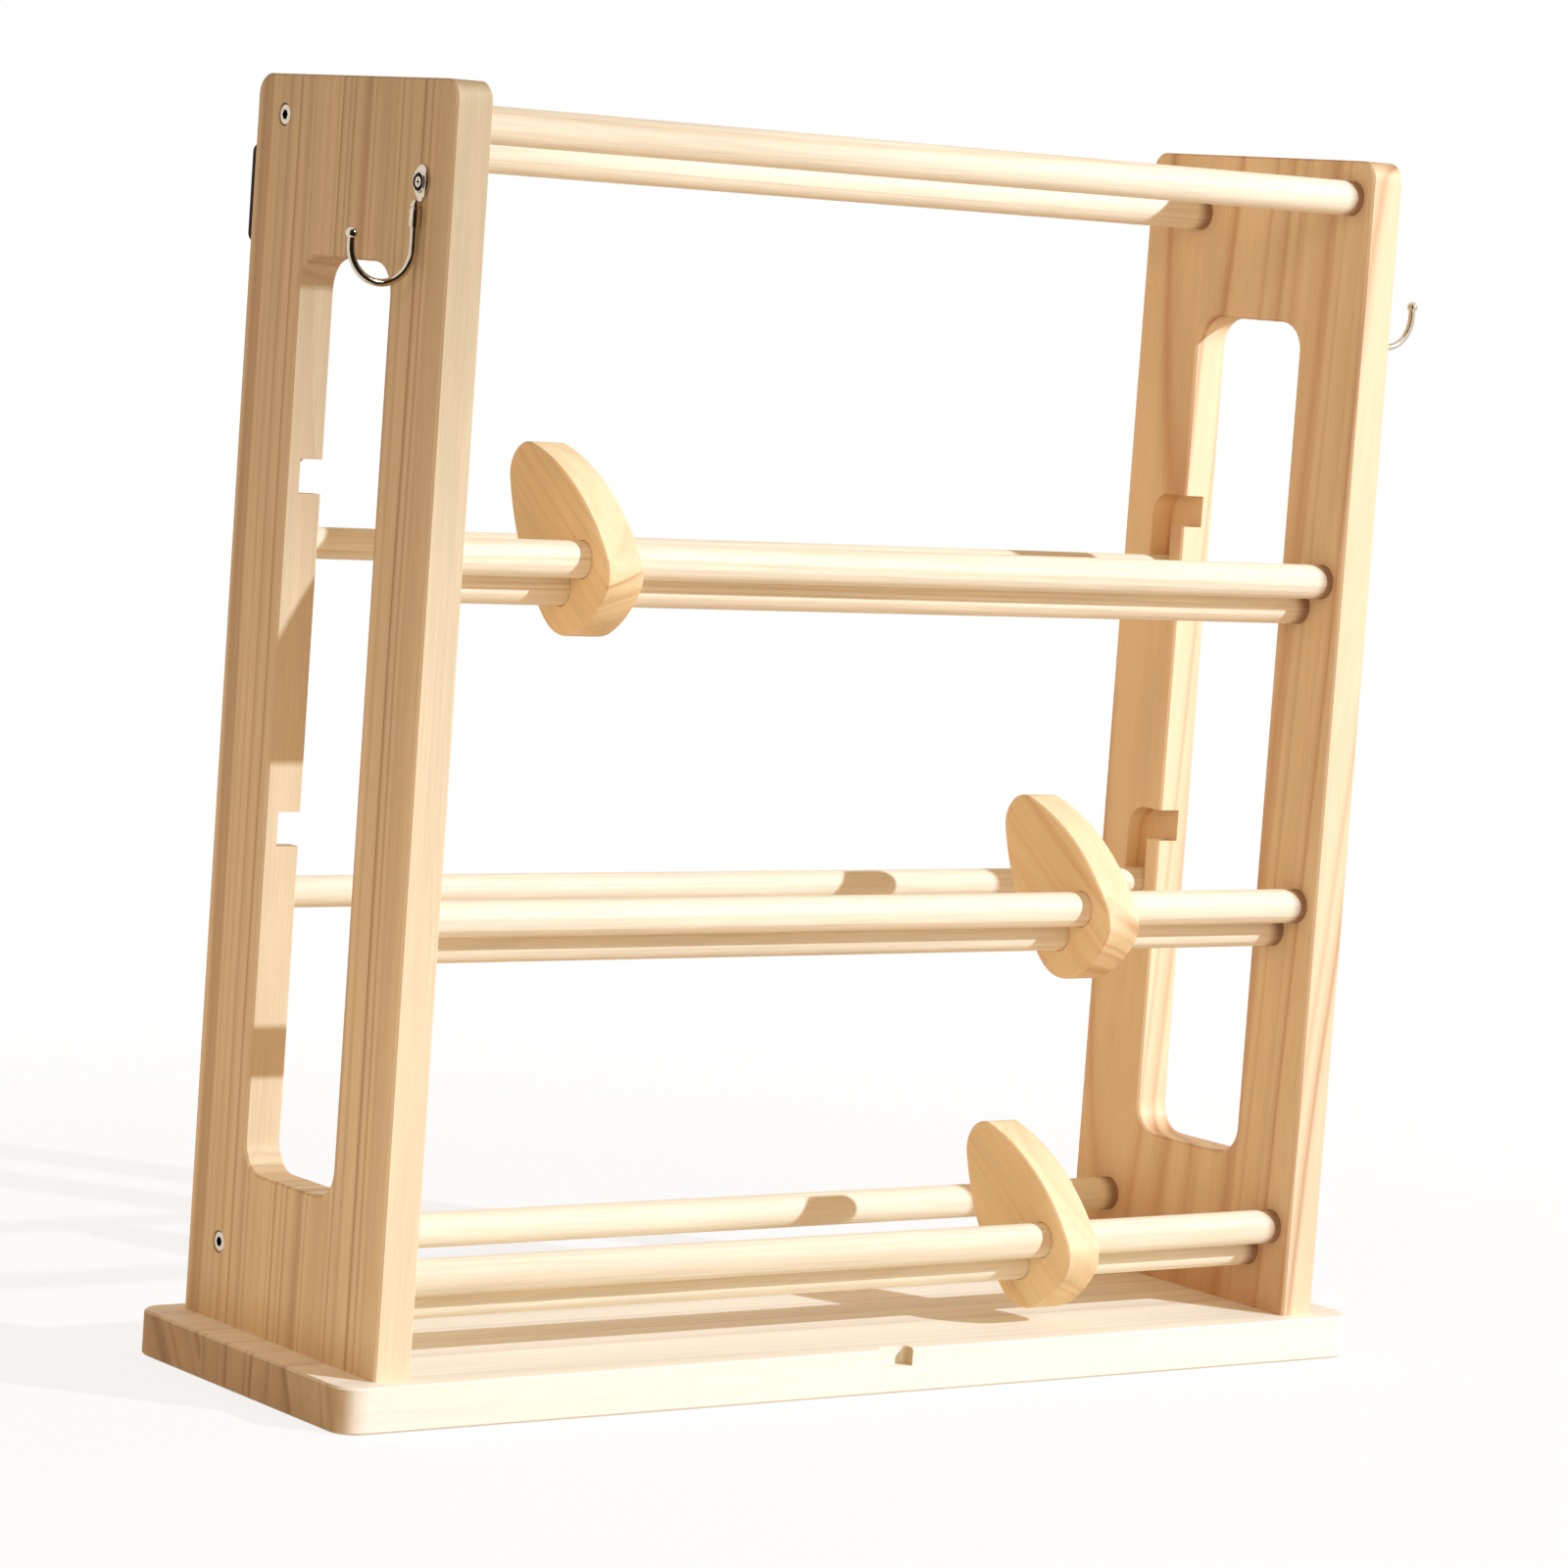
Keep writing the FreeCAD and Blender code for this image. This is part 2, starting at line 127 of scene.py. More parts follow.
# %% [markdown]
# ## Pine, as a solid
# Wood isn't a skin. A board is cut from a trunk whose growth rings are nested tubes, and each face
# shows the tubes where it cuts them: straight lines on a face along the grain, arcs and slanted
# bars on an end. So the pattern is worked out in space, and the first step is to say where in its
# tree a point lies. Object coordinates are turned until Z runs along the grain, and the tree's pith
# is put to one side of the board. A glued-up board has staves, each from another part of a trunk,
# and every other one is cut level with the pith. Slow noise bends the trunk a little, because none
# grows quite straight.

# %% Where a point lies in its tree
STAVE_LUCK = (12.0, 40.0, 900.0)  # how far apart two staves may have grown, in mm
STAVE_LIFT = (80.0, 0.0, 0.0)     # from a stave cut beside the pith to one cut level with it
WAVE = (60.0, 60.0, 420.0)        # a trunk bends slowly: across, across and along the grain


def in_tree(tree, grain, pith, waver, stave, seed):
    """Coordinates in mm: Z along the grain, the pith at X = Y = 0."""
    turn = Vector(grain).rotation_difference(Vector((0, 0, 1))).to_euler()
    place = add(tree, "TexCoord").outputs["Object"]
    turned = add(tree, "Mapping", {"Vector": place, "Rotation": turn, "Scale": (1 / MM,) * 3}).outputs[0]
    if stave:
        across = add(tree, "SeparateXYZ", {0: turned}).outputs["Y"]
        count = add(tree, "Math", {0: across, 1: 1 / stave, 2: 1.5}, operation="MULTIPLY_ADD").outputs[0]
        index = add(tree, "Math", {0: count}, operation="FLOOR").outputs[0]
        luck = add(tree, "TexWhiteNoise", {"W": index}, noise_dimensions="1D").outputs["Color"]
        turned = add(tree, "VectorMath", {0: luck, 1: STAVE_LUCK, 2: turned},
                     operation="MULTIPLY_ADD").outputs[0]
        every_other = add(tree, "Math", {0: index, 1: 1.0}, operation="PINGPONG").outputs[0]
        lifted = add(tree, "CombineXYZ", {"X": every_other}).outputs[0]
        turned = add(tree, "VectorMath", {0: lifted, 1: STAVE_LIFT, 2: turned},
                     operation="MULTIPLY_ADD").outputs[0]
    slow = add(tree, "Mapping", {"Vector": turned, "Location": (seed,) * 3,
                                 "Scale": [1 / length for length in WAVE]}).outputs[0]
    uneven = add(tree, "TexNoise", {"Vector": slow, "Scale": 1.0, "Detail": 1.0}).outputs["Color"]
    bent = add(tree, "VectorMath", {0: uneven, 1: (4 * waver, 4 * waver, 0), 2: turned},
               operation="MULTIPLY_ADD").outputs[0]
    away = [-pith[0] - 2 * waver, -pith[1] - 2 * waver, 0]
    return add(tree, "VectorMath", {0: bent, 1: away}).outputs[0]


# %% [markdown]
# ## Growth rings
# The distance from the pith, counted in rings, tells early wood from late wood. Inside one year the
# pale early wood deepens to a thin darker line and starts again. No two years are alike, so noise
# stretches some and squeezes others, and each year's line is drawn with a strength of its own.

# %% Growth rings
# one year, from pale early wood to the dark late line, and how much late wood each part holds
YEAR = [(0.0, grey(0.5)), (1.0, grey(0.5)), (0.15, grey(0.06)), (0.45, grey(0.06)), (0.7, grey(0.45)),
        (0.86, grey(1.0))]


def growth_rings(tree, point, ring, weakest):
    """How much late wood there is at a point, from 0 to 1."""
    flat = add(tree, "VectorMath", {0: point, 1: (1, 1, 0)}, operation="MULTIPLY").outputs[0]
    radius = add(tree, "VectorMath", {0: flat}, operation="LENGTH").outputs["Value"]
    count = add(tree, "Math", {0: radius, 1: ring}, operation="DIVIDE").outputs[0]
    years = add(tree, "TexNoise", {"W": count, "Scale": 0.55, "Detail": 1.0},
                noise_dimensions="1D").outputs[0]
    season = add(tree, "Math", {0: years, 1: 3.0, 2: count}, operation="MULTIPLY_ADD").outputs[0]
    within = add(tree, "Math", {0: season}, operation="FRACT").outputs[0]
    year = add(tree, "Math", {0: season}, operation="FLOOR").outputs[0]
    strength = add(tree, "TexWhiteNoise", {"W": year}, noise_dimensions="1D").outputs["Value"]
    line = add(tree, "ValToRGB", {0: within}, YEAR).outputs[0]
    drawn = add(tree, "MapRange", {"Value": strength, "To Min": weakest, "To Max": 1.0}).outputs[0]
    return add(tree, "Math", {0: line, 1: drawn}, operation="MULTIPLY").outputs[0]


# %% [markdown]
# ## Sanded pine
# The rings mix an early colour with a late one. Fine fibres, drawn a little coarser than real ones so
# that they show, and slow drifts of tone go over both. An end shows the open ends of the fibres,
# which swallow light: it is darker and redder than a side, and its rings are plainer to see. The
# normal in object coordinates says how far a face looks along the grain. A board may change slowly
# from its foot to its top, where a darker top is painted shade, and from its front to its rear.
# Beside a joint the colour turns browner: painted shade on a rod's end and at a panel's foot.
# Sanded pine that has no varnish is matt, and only a weak sheen lies on it.

# %% Pine
FIBRE = (1.2, 1.2, 45.0)     # the size of one fibre in mm: across, across and along the grain
DRIFT = (16.0, 16.0, 260.0)  # the size of one drift of tone
SHADE_HEIGHT, LIGHTNESS_DEPTH = (150, 560), (-80, 80)  # where the painted shade from foot to top and the change from front to rear begin and end, in mm


def pine(name, early, late, grain, pith, ring=8.0, waver=3.0, weakest=0.15, late_depth=0.7,
         tone=0.05, fibre=0.03, end_tint="#DFD2C0", foot_to_top=(1, 1), front_to_rear=(1, 1), joint_shade=None,
         stave=0.0, seed=0.0):
    """Lengths are in mm, and the pith's place is across the grain. foot_to_top and front_to_rear are
    the lightness at each end of a board, and a darker top is painted shade. A joint shade is painted
    shade beside a joint: an axis, where it begins on it and where it is full, its share and its colour."""
    material, tree = new_material(name)
    point = in_tree(tree, grain, pith, waver, stave, seed)
    normal = add(tree, "TexCoord").outputs["Normal"]
    place = add(tree, "SeparateXYZ", {0: add(tree, "TexCoord").outputs["Object"]}).outputs
    facing = add(tree, "VectorMath", {0: normal, 1: Vector(grain).normalized()}, operation="DOT_PRODUCT")
    end = add(tree, "Math", {0: facing.outputs["Value"]}, operation="ABSOLUTE").outputs[0]
    end = add(tree, "MapRange", {"Value": end, "From Min": 0.45, "From Max": 0.95}).outputs[0]

    late_wood = growth_rings(tree, point, ring, weakest)
    plainer = add(tree, "MapRange", {"Value": end, "To Min": late_depth,
                                     "To Max": min(1, late_depth * 2.5)}).outputs[0]
    depth = add(tree, "Math", {0: late_wood, 1: plainer}, operation="MULTIPLY").outputs[0]
    wood = add(tree, "Mix", {0: depth, 6: linear(early), 7: linear(late)}, data_type="RGBA").outputs[2]
    wood = add(tree, "Mix", {0: end, 6: wood, 7: linear(end_tint)}, data_type="RGBA",
               blend_type="MULTIPLY").outputs[2]

    threads = add(tree, "Mapping", {"Vector": point, "Scale": [1 / size for size in FIBRE]}).outputs[0]
    hair = add(tree, "TexNoise", {"Vector": threads, "Scale": 1.0, "Detail": 3.0,
                                  "Roughness": 0.6}).outputs[0]
    bands = add(tree, "Mapping", {"Vector": point, "Scale": [1 / size for size in DRIFT],
                                  "Location": (seed, 0, 0)}).outputs[0]
    drift = add(tree, "TexNoise", {"Vector": bands, "Scale": 1.0, "Detail": 2.0}).outputs[0]
    lightness = add(tree, "MapRange", {"Value": hair, "From Min": 0.3, "From Max": 0.7,
                                       "To Min": 1 - fibre, "To Max": 1 + fibre}).outputs[0]
    warmth = add(tree, "MapRange", {"Value": drift, "From Min": 0.3, "From Max": 0.7,
                                    "To Min": 1 - tone, "To Max": 1 + tone}).outputs[0]
    shade = add(tree, "Math", {0: lightness, 1: warmth}, operation="MULTIPLY").outputs[0]
    # from foot to top a darker top is painted shade; from front to rear the tone only grows lighter or
    # darker
    for axis, (low, high), (first, last) in (("Z", SHADE_HEIGHT, foot_to_top),
                                             ("Y", LIGHTNESS_DEPTH, front_to_rear)):
        graded_lightness = add(tree, "MapRange", {"Value": place[axis], "From Min": low * MM, "From Max": high * MM,
                                      "To Min": first, "To Max": last}).outputs[0]
        shade = add(tree, "Math", {0: shade, 1: graded_lightness}, operation="MULTIPLY").outputs[0]
    colour = add(tree, "HueSaturation", {"Color": wood, "Value": shade}).outputs[0]
    # painted shade beside a joint: a dark crescent on a rod's end where the panel shades it, and a browner,
    # warmer panel foot by the base
    if joint_shade:
        axis, clean, dark, share, tint = joint_shade
        painted_shade = add(tree, "MapRange", {"Value": place[axis], "From Min": clean * MM, "From Max": dark * MM,
                                       "To Max": share}, interpolation_type="SMOOTHSTEP").outputs[0]
        # the painted shade stops short of the panels' front edges, which stay pale
        behind = add(tree, "MapRange", {"Value": place["Y"], "From Min": -80.4 * MM,
                                        "From Max": -79 * MM}).outputs[0]
        painted_shade = add(tree, "Math", {0: painted_shade, 1: behind}, operation="MULTIPLY").outputs[0]
        colour = add(tree, "Mix", {0: painted_shade, 6: colour, 7: linear(tint)}, data_type="RGBA").outputs[2]

    gloss = add(tree, "MapRange", {"Value": depth, "To Min": 0.62, "To Max": 0.5}).outputs[0]
    relief = add(tree, "Bump", {"Height": hair, "Strength": 0.2, "Distance": 0.04 * MM}).outputs[0]
    shader = add(tree, "BsdfPrincipled", {"Base Color": colour, "Roughness": gloss, "Normal": relief,
                                          "Specular IOR Level": 0.3})
    add(tree, "OutputMaterial", {0: shader.outputs[0]})
    return material


# %% [markdown]
# ## One board after the other
# Each kind of board gets a pith and a seed of its own. The left panel is quarter-sawn, with its pith
# far in front: its big face has straight lines and its front edge hardly any. The right panel's pith
# is nearer, and its grain leans, so that its lines are broad, soft and aslant. The base is glued up
# from staves of the palest wood. A dowel is turned from straight-grained stock, and its ends get
# painted shade where they enter a panel. The two loose spindles have a clean wood of their own,
# without that shade. A divider's grain runs along its length, from the nose to the tip.

# %% Dress the wood
along_x, upright = (1, 0, 0), (0, 0, 1)
# fine straight lines over a tan, with painted shade that deepens it towards the top
panel_left = pine("sanded_pine_left_panel", "#F3DFBA", "#A87944", upright, (-235, -434), 9.0, 2.0,
                  late_depth=0.8, fibre=0.06, foot_to_top=(1.02, 0.74), front_to_rear=(1.04, 1.04),
                  joint_shade=("Z", 45, 20, 0.3, "#B07C45"), seed=3.0)
# a few broad lines that lean, soft orange on a warm ground, lighter towards the rear, and painted shade
# that browns its foot
panel_right = pine("sanded_pine_right_panel", "#F8DEB6", "#BD6E26", (0.04, -0.02, 1), (168, 50), 11.0, 3.0,
                   weakest=0.05, late_depth=0.55, fibre=0.05, front_to_rear=(0.94, 1.1),
                   joint_shade=("Z", 95, 20, 0.5, "#B86E2C"), seed=8.0)
# the palest wood, nearly white in the light, with bold slanted bars on its ends
base = pine("sanded_pine_base", "#FDF5E3", "#AE8050", along_x, (75, 190), 13.0, 2.0, late_depth=0.3,
            end_tint="#CFBFA5", stave=60.0, seed=1.4)
# silky streaks along a pale rod, and a crescent of painted shade where it enters a panel
dowel = pine("turned_pine_dowel", "#F9EED5", "#DDB683", along_x, (-40, 160), 5.0, 2.0, late_depth=0.5,
             tone=0.04, fibre=0.08, joint_shade=("X", 232, 240, 0.8, "#83491D"), seed=5.0)
# the same pale streaks, clean to the ends
spindle = pine("turned_pine_spindle", "#F9EED5", "#DDB683", along_x, (60, -150), 5.0, 2.0, late_depth=0.5,
               tone=0.04, fibre=0.08, seed=6.0)
# honey-coloured, with a soft figure that runs from the nose to the tip
divider = pine("sanded_pine_divider", "#FFE5B8", "#CC8C46", (0, 0.81, 0.58), (30, 90), 9.0, 5.0,
               weakest=0.05, late_depth=0.34, tone=0.08, fibre=0.06, end_tint="#F5EEE3", seed=2.0)

dress(base, "base_board")
dress(panel_left, "left_side_panel")
dress(panel_right, "right_side_panel")
dress(divider, "upper_divider", "middle_divider", "lower_divider")
dress(dowel, *[name for name in nodes if name.endswith("_rod")])
dress(spindle, "upper_spindle", "middle_spindle")
print("pine on", sum("pine" in m.name for n in nodes.values() for m in n.data.materials), "pieces")

# %% [markdown]
# ## Nickel, steel and lacquer
# The hooks and the furniture screws are steel with a bright nickel plate: nickel is a touch yellower
# and darker than chrome, and it mirrors what stands round it. The eyes' dishes and the screws'
# sockets get a nearly black nickel instead, painted shade that makes them look deep. The small wood screws
# are zinc plated, bluer and duller. The hanger is cast, then dipped in black-brown lacquer. In both
# functions the grain is the size of the finish's faint clouds, in mm.

# %% Metals and lacquer
def metal(name, tint, roughness, uneven, grain_mm, bump_mm):
    material, tree = new_material(name)
    place = add(tree, "TexCoord").outputs["Object"]
    cloud = add(tree, "TexNoise", {"Vector": place, "Scale": 1 / (grain_mm * MM), "Detail": 4.0}).outputs[0]
    gloss = add(tree, "MapRange", {"Value": cloud, "From Min": 0.35, "From Max": 0.65,
                                   "To Min": roughness * (1 - uneven), "To Max": roughness * (1 + uneven)})
    tone = add(tree, "MapRange", {"Value": cloud, "From Min": 0.35, "From Max": 0.65,
                                  "To Min": 0.92, "To Max": 1.0}).outputs[0]
    colour = add(tree, "HueSaturation", {"Color": linear(tint), "Value": tone}).outputs[0]
    relief = add(tree, "Bump", {"Height": cloud, "Strength": 0.3, "Distance": bump_mm * MM}).outputs[0]
    shader = add(tree, "BsdfPrincipled", {"Base Color": colour, "Metallic": 1.0,
                                          "Roughness": gloss.outputs[0], "Normal": relief})
    add(tree, "OutputMaterial", {0: shader.outputs[0]})
    return material


def lacquer(name, tint, roughness, grain_mm, bump_mm):
    material, tree = new_material(name)
    place = add(tree, "TexCoord").outputs["Object"]
    cloud = add(tree, "TexNoise", {"Vector": place, "Scale": 1 / (grain_mm * MM), "Detail": 3.0}).outputs[0]
    tone = add(tree, "MapRange", {"Value": cloud, "To Min": 0.7, "To Max": 1.3}).outputs[0]
    colour = add(tree, "HueSaturation", {"Color": linear(tint), "Value": tone}).outputs[0]
    relief = add(tree, "Bump", {"Height": cloud, "Strength": 0.4, "Distance": bump_mm * MM}).outputs[0]
    shader = add(tree, "BsdfPrincipled", {"Base Color": colour, "Roughness": roughness, "Normal": relief,
                                          "Specular IOR Level": 0.12})
    add(tree, "OutputMaterial", {0: shader.outputs[0]})
    return material


# a warm mirror, with pale rims and a dark core
nickel = metal("bright_nickel_plate", "#D9CCB7", 0.12, 0.3, 2.5, 0.01)
# nearly black painted shade, so that a dish or a socket looks deep
shade_nickel = metal("nickel_with_painted_shade", "#2E2923", 0.45, 0.3, 0.8, 0.01)
# a cool grey that shines softly
zinc = metal("zinc_plated_steel", "#B4B6B8", 0.32, 0.3, 1.2, 0.02)
# a brown-black that hardly shines and is a little uneven, as a dipped coat is
black = lacquer("black_brown_lacquer", "#2E1F16", 0.6, 0.8, 0.03)
dress(nickel, "left_hook_screw", "right_hook_screw")
dress(zinc, "hanger_screws")
dress(black, "hanger")

# %% [markdown]
# ## Turned metal
# An eye, a collar and a screw's head are all turned: a short profile goes once round an axis. The
# profile is a few points in millimetres, each a radius and a height, and spin carries them round.
# The points on the axis come round as many copies of one, and merging closes the shape. The
# normals are made to agree only after that.

# %% Turned shapes and finished pieces
ROUND = 48


def turned(profile, axis, start, steps=ROUND):
    """A new bmesh, in mm: the profile's heights run along the axis from the start."""
    shape = bmesh.new()
    points = [shape.verts.new((radius, 0, height)) for radius, height in profile]
    for one, other in zip(points, points[1:]):
        shape.edges.new((one, other))
    bmesh.ops.spin(shape, geom=shape.verts[:] + shape.edges[:], cent=(0, 0, 0), axis=(0, 0, 1),
                   angle=math.tau, steps=steps, use_merge=True)
    bmesh.ops.remove_doubles(shape, verts=shape.verts, dist=1e-4)
    to_axis = Vector((0, 0, 1)).rotation_difference(Vector(axis)).to_matrix().to_4x4()
    bmesh.ops.transform(shape, matrix=Matrix.Translation(start) @ to_axis, verts=shape.verts)
    return shape


def joined(shapes):
    """One bmesh that holds them all."""
    whole = bmesh.new()
    for shape in shapes:
        part = bpy.data.meshes.new("part")
        shape.to_mesh(part)
        whole.from_mesh(part)
        bpy.data.meshes.remove(part)
        shape.free()
    return whole


def finished(name, shape, node, materials, mirror=False, crease=40):
    """Turns a bmesh in mm into a piece that stands for a node of the rack."""
    bmesh.ops.scale(shape, vec=(-MM if mirror else MM, MM, MM), verts=shape.verts)
    bmesh.ops.recalc_face_normals(shape, faces=shape.faces)
    mesh = bpy.data.meshes.new(name)
    shape.to_mesh(mesh)
    shape.free()
    mesh.polygons.foreach_set("use_smooth", [True] * len(mesh.polygons))
    mesh.set_sharp_from_angle(angle=math.radians(crease))
    for material in materials:
        mesh.materials.append(material)
    piece = bpy.data.objects.new(name, mesh)
    bpy.context.scene.collection.objects.link(piece)
    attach(piece, "rack")
    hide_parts(node)
    return piece


# %% [markdown]
# ## The wire hooks
# A hook has a forged eye with a stepped rim and a dish for its screw, a collar, a wire bent to a
# half circle and a ball on its end. The eye is turned first. Then the lowest part of its rim is
# drawn down to a point behind the collar, more and more towards the middle, as a smith draws out a
# tail. The wire is a circle that is extruded down, spun round the bend and extruded up again.

# %% Measures of a hook, in mm
panel_x, hook_y, eye_z = -260.0, -57.9, 520.0
dish_radius, rim_starts, rim_width = 3.85, 4.3, 1.4
collar_top, wire_top = 512.6, 503.0
shank_x, bend_z, bend_radius, wire_radius = -262.7, 492.5, 14.95, 1.65
ball_z, ball_radius = 497.2, 2.49


# %% The eye and its collar
def forged_eye():
    # from the back of the plate, round the stepped rim, down into the dish and across its bottom
    rim = [(0, 0), (5.3, 0), (5.65, 0.3), (5.7, 0.9), (5.45, 1.5), (5.0, 1.8), (4.7, 1.72), (4.5, 1.8),
           (4.4, 2.15), (4.2, 2.38), (3.95, 2.36), (3.8, 2.2), (2.35, 0.8), (0, 0.8)]
    shape = turned(rim, (-1, 0, 0), (panel_x, hook_y, eye_z), steps=72)
    for face in shape.faces:
        middle = face.calc_center_median() - Vector((0, hook_y, eye_z))
        reach = math.hypot(middle.y, middle.z)
        # the dish's faces take the second material, the nickel with painted shade
        if reach < dish_radius and middle.x < panel_x - 0.1:
            face.material_index = 1
    for vert in shape.verts:
        y, z = vert.co.y - hook_y, vert.co.z - eye_z
        reach = math.hypot(y, z)
        if reach > rim_starts:
            share = (reach - rim_starts) / rim_width
            upward, downward = max(z, 0) / reach, max(-z, 0) / reach
            # the rim grows 1.6 mm at its top and is drawn 2.4 mm down, where the front thins by 0.7 mm
            vert.co.z += share * (1.6 * upward ** 2 - 2.4 * downward ** 5)
            vert.co.x += 0.7 * downward ** 9 if vert.co.x < panel_x - 1 else 0
    return shape


def collar():
    # a slanted shoulder, a groove, the long barrel and a rounded foot round the wire
    barrel = [(0, 0), (1.2, 0.3), (2.2, 2.2), (2.3, 2.7), (1.95, 3.0), (1.95, 3.4), (2.35, 3.8), (2.4, 4.4),
              (2.4, 10.8), (2.2, 11.4), (1.6, 11.6), (0, 11.6)]
    return turned(barrel, (0, 0, -1), (shank_x, hook_y, collar_top), steps=36)


# %% The wire and its ball
def wire():
    shape = bmesh.new()
    bmesh.ops.create_circle(shape, segments=24, radius=wire_radius,
                            matrix=Matrix.Translation((shank_x, hook_y, wire_top)))

    def pulled(edges, by):
        made = bmesh.ops.extrude_edge_only(shape, edges=edges)["geom"]
        verts = [item for item in made if isinstance(item, bmesh.types.BMVert)]
        bmesh.ops.translate(shape, vec=by, verts=verts)
        return [item for item in made if isinstance(item, bmesh.types.BMEdge)
                and all(vert in verts for vert in item.verts)]

    foot = pulled(shape.edges[:], (0, 0, bend_z - wire_top))
    centre = (shank_x - bend_radius, hook_y, bend_z)
    verts = list({vert for edge in foot for vert in edge.verts})
    bent = bmesh.ops.spin(shape, geom=verts + foot, cent=centre, axis=(0, 1, 0), angle=math.pi, steps=48)
    last = [item for item in bent["geom_last"] if isinstance(item, bmesh.types.BMEdge)]
    pulled(last, (0, 0, ball_z - bend_z))
    bmesh.ops.holes_fill(shape, edges=shape.edges, sides=0)
    return shape


def ball():
    shape = bmesh.new()
    place = Matrix.Translation((shank_x - 2 * bend_radius, hook_y, ball_z))
    bmesh.ops.create_uvsphere(shape, u_segments=32, v_segments=20, radius=ball_radius, matrix=place)
    return shape


# %% Put the hooks together
for side in ("left", "right"):
    hook = joined([forged_eye(), collar(), wire(), ball()])
    made = finished(side + "_wire_hook", hook, side + "_hook", [nickel, shade_nickel],
                    mirror=side == "right")
    print(made.name, len(made.data.polygons), "faces,",
          [round(length / MM, 1) for length in made.dimensions], "mm")

# %% [markdown]
# ## Furniture screws
# A furniture screw has a low round head with a softened rim and a hexagon socket. The head is turned
# as far as the socket's edge. The hexagon is a circle of six sides, cut finely enough to be bridged
# to the turned ring, then extruded down and closed.

# %% Furniture screws
HEAD_HEIGHT, SOCKET_FLATS, SOCKET_DEPTH = 3.0, 4.0, 2.2  # mm


def furniture_screw(seat, heading):
    """The underside of the head is at the seat, and the shank points along the heading."""
    body = [(0, 46), (2.1, 46), (2.5, 45), (2.5, 0.0), (4.4, 0.0), (4.7, -0.3), (4.75, -0.8), (4.75, -1.9),
            (4.6, -2.5), (4.2, -2.88), (3.6, -HEAD_HEIGHT), (3.0, -HEAD_HEIGHT)]
    shape = turned(body, (0, 0, 1), (0, 0, 0))
    ring = [edge for edge in shape.edges if edge.is_boundary]
    hexagon = bmesh.ops.create_circle(shape, segments=6, radius=SOCKET_FLATS / math.sqrt(3),
                                      matrix=Matrix.Translation((0, 0, -HEAD_HEIGHT)))["verts"]
    sides = [edge for edge in shape.edges if all(vert in hexagon for vert in edge.verts)]
    cut = bmesh.ops.subdivide_edges(shape, edges=sides, cuts=ROUND // 6 - 1)["geom"]
    sides = list({item for item in cut if isinstance(item, bmesh.types.BMEdge)} | set(sides))
    bmesh.ops.bridge_loops(shape, edges=ring + sides)
    walls = bmesh.ops.extrude_edge_only(shape, edges=sides)["geom"]
    deep = [item for item in walls if isinstance(item, bmesh.types.BMVert)]
    bmesh.ops.translate(shape, vec=(0, 0, SOCKET_DEPTH), verts=deep)
    bottom = [edge for edge in shape.edges if edge.is_boundary]
    closed = bmesh.ops.edgeloop_fill(shape, edges=bottom)["faces"]
    # the socket's walls and bottom take the second material, the nickel with painted shade
    for face in closed + [item for item in walls if isinstance(item, bmesh.types.BMFace)]:
        face.material_index = 1
    to_heading = Vector((0, 0, 1)).rotation_difference(Vector(heading)).to_matrix().to_4x4()
    bmesh.ops.transform(shape, matrix=Matrix.Translation(seat) @ to_heading, verts=shape.verts)
    return shape


tie_seats = [(-256.6, 57.7, 545.5), (-256.6, 54.5, 54.5)]
base_seats = [(-251.0, -30.5, 3.4), (-251.0, 30.5, 3.4)]
for group, seats, heading in (("tie_screws", tie_seats, (1, 0, 0)), ("base_screws", base_seats, (0, 0, 1))):
    for side in ("left", "right"):
        pair = joined([furniture_screw(seat, heading) for seat in seats])
        made = finished(side + "_" + group + "_fine", pair, side + "_" + group,
                        [nickel, shade_nickel], mirror=side == "right", crease=30)
        print(made.name, len(made.data.polygons), "faces")

# %% [markdown]
# ## Floor and light
# The main lamp stands high to the front right, and its own size softens the shadows' edges. A weak
# warm lamp to the left gives the hook a shadow. The sky all round is a gentle warm fill. What the
# camera and the mirrors see of it is plain white, and the floor runs into that white with only the
# rack's shadow on it. A dark card stands in front of the left hook, where only mirrors can see it:
# without one, polished metal in a white room has no shape. A small black gauze half way to the lamp
# dims the top left corner by almost a third, as a flag in a studio does.

# %% The white studio
def seen(tree):
    """1 for what the camera, a mirror or glass shows, 0 for the light that falls on things."""
    path = add(tree, "LightPath").outputs
    direct = add(tree, "Math", {0: path["Is Camera Ray"], 1: path["Is Glossy Ray"]},
                 operation="MAXIMUM").outputs[0]
    return add(tree, "Math", {0: direct, 1: path["Is Transmission Ray"]}, operation="MAXIMUM").outputs[0]


def white_studio(fill_colour):
    world = bpy.data.worlds.new("white_studio")
    world.use_nodes = True
    tree = world.node_tree
    tree.nodes.clear()
    lit = add(tree, "Background", {"Color": linear(fill_colour)}).outputs[0]
    white = add(tree, "Background", {"Color": (1, 1, 1, 1)}).outputs[0]
    both = add(tree, "MixShader", {0: seen(tree), 1: lit, 2: white}).outputs[0]
    add(tree, "OutputWorld", {0: both})
    bpy.context.scene.world = world


def lamp(name, place, power, radius, tint):
    light = bpy.data.lights.new(name, "POINT")
    light.energy = power
    light.shadow_soft_size = radius
    light.color = linear(tint)[:3]
    thing = bpy.data.objects.new(name, light)
    thing.location = place
    bpy.context.scene.collection.objects.link(thing)


def stage_sheet(name, half_width, material):
    mesh = bpy.data.meshes.new(name)
    shape = bmesh.new()
    bmesh.ops.create_grid(shape, x_segments=1, y_segments=1, size=half_width)
    shape.to_mesh(mesh)
    shape.free()
    mesh.materials.append(material)
    thing = bpy.data.objects.new(name, mesh)
    bpy.context.scene.collection.objects.link(thing)
    return thing


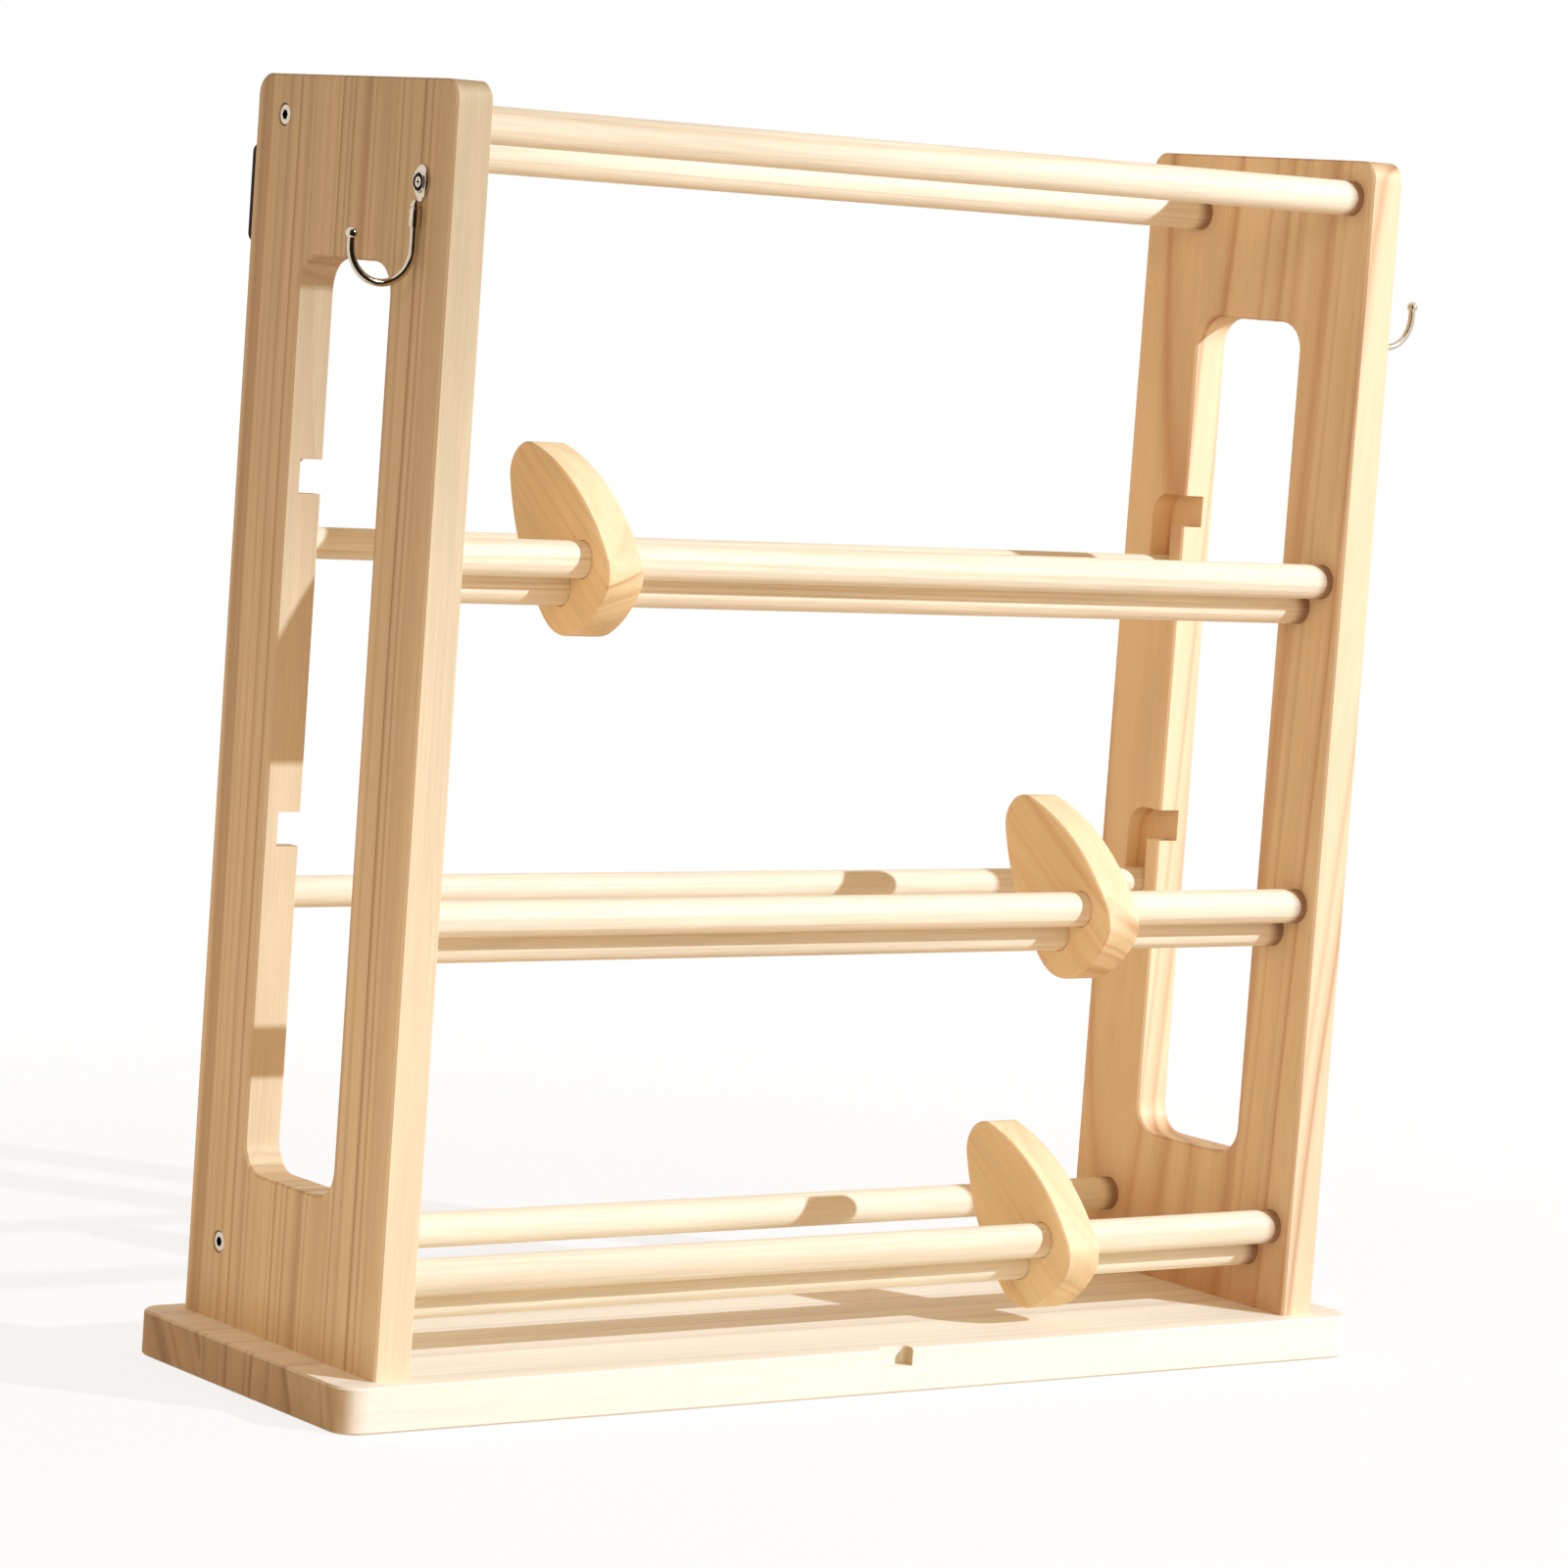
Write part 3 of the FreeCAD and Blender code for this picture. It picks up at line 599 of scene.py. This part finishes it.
# %% Floor, card and gauze
def white_paper(bounce_tint, shadow_share):
    """Paper that shows a share of the shadows near the rack, and none where it meets the white."""
    material, tree = new_material("white_paper")
    place = add(tree, "TexCoord").outputs["Object"]
    away = add(tree, "VectorMath", {0: place}, operation="LENGTH").outputs["Value"]
    near = add(tree, "MapRange", {"Value": away, "From Min": 0.35, "From Max": 1.2, "To Min": shadow_share,
                                  "To Max": 0.0}, interpolation_type="SMOOTHSTEP").outputs[0]
    white = add(tree, "Emission", {"Color": (1, 1, 1, 1)}).outputs[0]
    paper = add(tree, "BsdfDiffuse", {"Color": (1, 1, 1, 1)}).outputs[0]
    looks = add(tree, "MixShader", {0: near, 1: white, 2: paper}).outputs[0]
    bounce = add(tree, "BsdfDiffuse", {"Color": linear(bounce_tint)}).outputs[0]
    both = add(tree, "MixShader", {0: seen(tree), 1: bounce, 2: looks}).outputs[0]
    add(tree, "OutputMaterial", {0: both})
    return material


def dark_card(place, half_width):
    """An upright card that faces the front."""
    material, tree = new_material("dark_card")
    shader = add(tree, "Emission", {"Color": linear("#2A231C")})
    add(tree, "OutputMaterial", {0: shader.outputs[0]})
    card = stage_sheet("dark_card", half_width, material)
    card.rotation_euler = (math.radians(90), 0, 0)
    card.location = place
    card.visible_camera = card.visible_diffuse = card.visible_shadow = card.visible_transmission = False


def gauze(lamp_place, dimmed, half_width, share):
    """A sheet across the light's way to the place that it dims, with a share of its light taken."""
    material, tree = new_material("black_gauze")
    threads = add(tree, "BsdfDiffuse", {"Color": (0, 0, 0, 1)}).outputs[0]
    holes = add(tree, "BsdfTransparent").outputs[0]
    both = add(tree, "MixShader", {0: share, 1: holes, 2: threads}).outputs[0]
    add(tree, "OutputMaterial", {0: both})
    sheet = stage_sheet("black_gauze", half_width, material)
    sheet.rotation_euler = (Vector(lamp_place) - Vector(dimmed)).to_track_quat("Z", "Y").to_euler()
    sheet.location = (Vector(lamp_place) + Vector(dimmed)) / 2
    sheet.visible_camera = sheet.visible_diffuse = sheet.visible_glossy = sheet.visible_transmission = False


# %% Set up the studio
white_studio("#C1A688")
main_place = (3.42, -4.5, 3.26)
lamp("main_lamp", main_place, 1810.0, 0.07, "#D9ECFF")
lamp("side_lamp", (-2.6, -1.3, 1.2), 24.0, 0.3, "#FFE1C6")
ground = stage_sheet("studio_floor", 30.0, white_paper("#DFCDBB", 0.18))
ground.location.z = -0.0002
dark_card((-0.40, -0.28, 0.50), 0.6)
gauze(main_place, (-0.30, -0.08, 0.66), 0.105, 0.3)
print("lamps, floor, card and gauze are in place")
